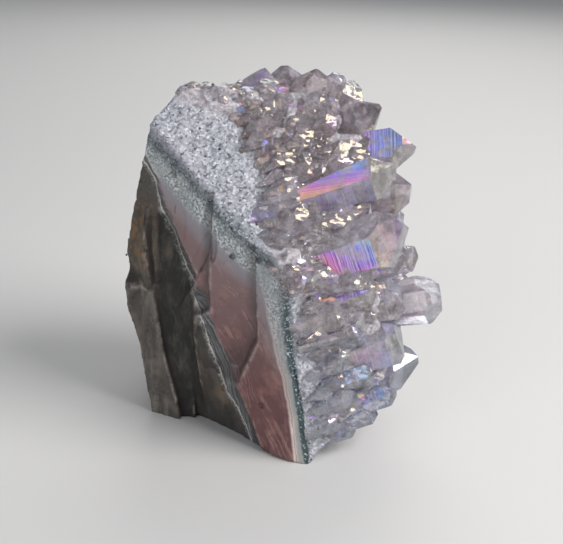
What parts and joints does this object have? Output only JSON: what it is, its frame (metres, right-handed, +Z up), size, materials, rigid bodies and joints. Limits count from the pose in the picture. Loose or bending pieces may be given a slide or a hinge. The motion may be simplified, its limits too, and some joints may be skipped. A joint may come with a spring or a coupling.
{
  "type": "amethyst freeform",
  "caption": "Freestanding piece of geode wall on a flat base: a basalt rind, a pink agate band and a quartz crust ending in coated amethyst crystals.",
  "frame": {"origin": "middle of the stone's box, on the surface it stands on", "axes": "+Z up, +X the way the crystals of the side point, the broken side that shows the layers faces -Y"},
  "size_m": [0.0897, 0.0754, 0.0998],
  "materials": {
    "basalt": "rough broken stone",
    "agate": "satin broken stone",
    "amethyst": "glassy, with a thin iridescent coating"
  },
  "bodies": {
    "root": {"basalt_rind": "basalt", "agate_band": "agate", "amethyst_crust": "amethyst"}
  },
  "joints": []
}
